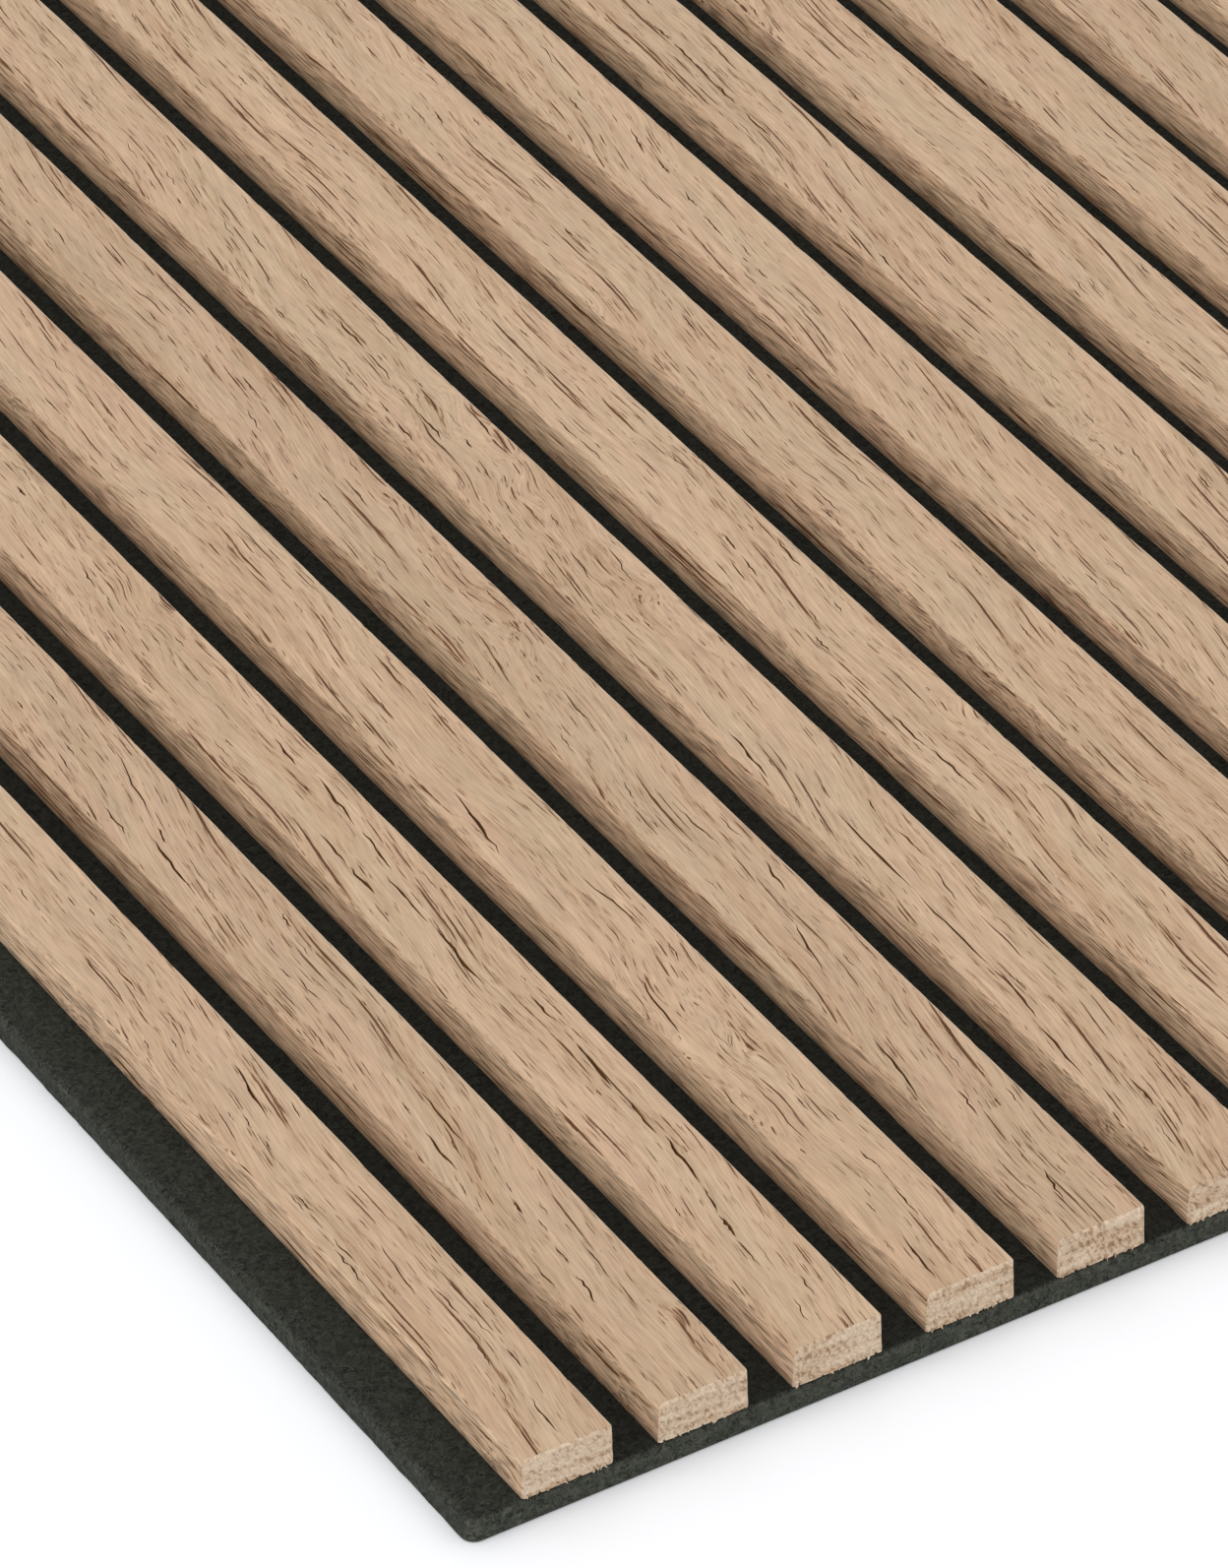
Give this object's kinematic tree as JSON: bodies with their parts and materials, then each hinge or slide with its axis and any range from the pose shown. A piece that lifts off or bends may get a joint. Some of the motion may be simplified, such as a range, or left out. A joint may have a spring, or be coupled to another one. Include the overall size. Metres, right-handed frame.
{
  "type": "acoustic slat wall panel",
  "caption": "Flat wall panel of parallel solid oak slats stapled from behind to a charcoal felt board that damps sound, with a bare felt lip along one long side.",
  "frame": {"origin": "middle of the felt's back face, on the wall side", "axes": "+X across the slats, away from the felt lip; +Y along the slats; +Z out of the wall, into the room"},
  "size_m": [0.6036, 2.4, 0.0195],
  "materials": {
    "oak": "matte, sanded, open grain",
    "felt": "matte needled felt",
    "staple_wire": "galvanised wire"
  },
  "bodies": {
    "root": {"felt_backing": "felt", "slat_01": "oak", "slat_02": "oak", "slat_03": "oak", "slat_04": "oak", "slat_05": "oak", "slat_06": "oak", "slat_07": "oak", "slat_08": "oak", "slat_09": "oak", "slat_10": "oak", "slat_11": "oak", "slat_12": "oak", "slat_13": "oak", "slat_14": "oak", "slat_15": "oak", "staples": "staple_wire"}
  },
  "joints": []
}
